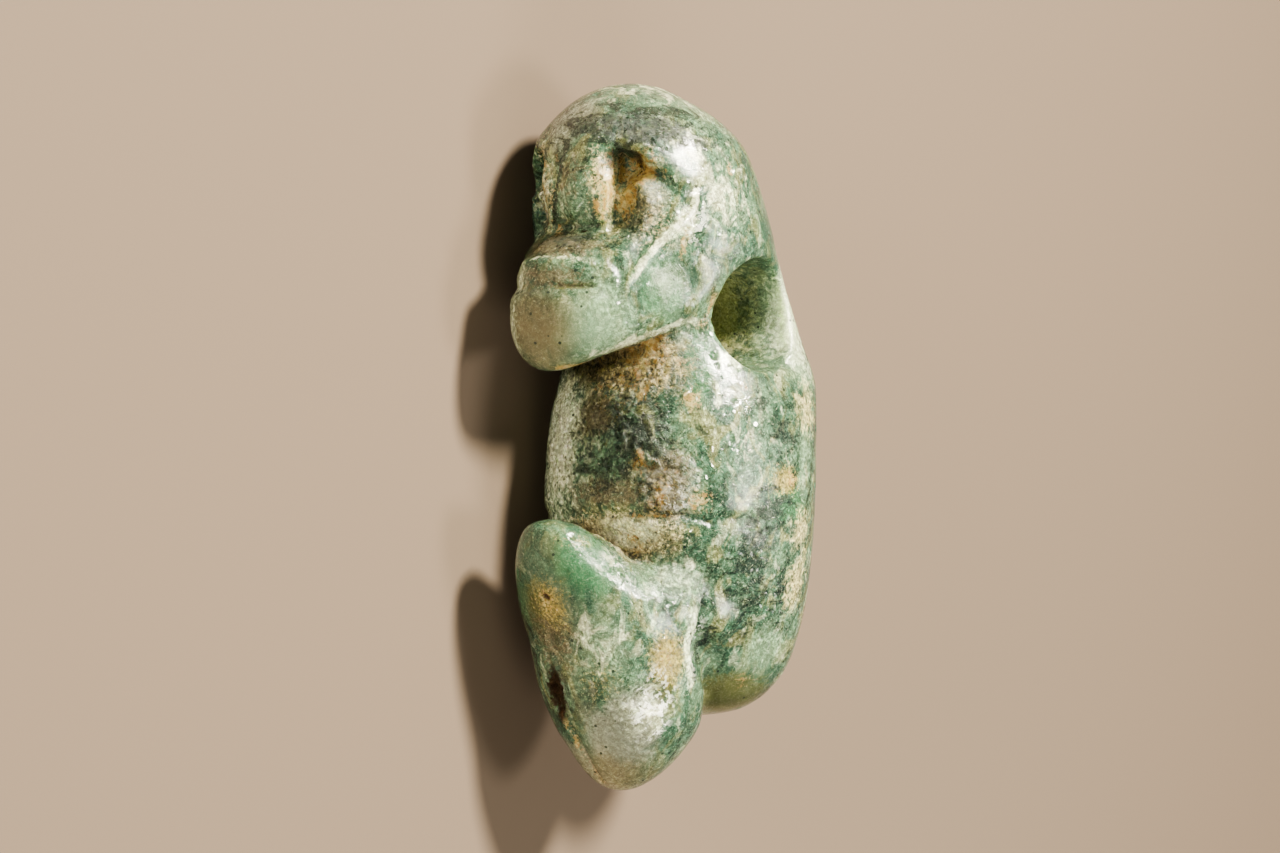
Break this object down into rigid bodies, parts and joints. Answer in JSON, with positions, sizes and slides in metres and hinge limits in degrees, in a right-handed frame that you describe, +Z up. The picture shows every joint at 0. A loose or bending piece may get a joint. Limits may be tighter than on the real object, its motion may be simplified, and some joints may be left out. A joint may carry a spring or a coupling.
{
  "type": "jadeite figure pendant",
  "caption": "Small crouching figure carved from one piece of jadeite, drilled from side to side through the neck, lying loose on its side.",
  "frame": {"origin": "on the surface that the figure lies on, under the middle of its outline", "axes": "+Y along the figure from toes to crown, +Z up through its left side, -X the way its face looks, turned 12 degrees down about the long axis"},
  "size_m": [0.0278, 0.055, 0.0202],
  "materials": {
    "jadeite": "worn polish, translucent mottled green and grey with ochre staining in the hollows"
  },
  "bodies": {
    "root": {"figure": "jadeite"}
  },
  "joints": []
}
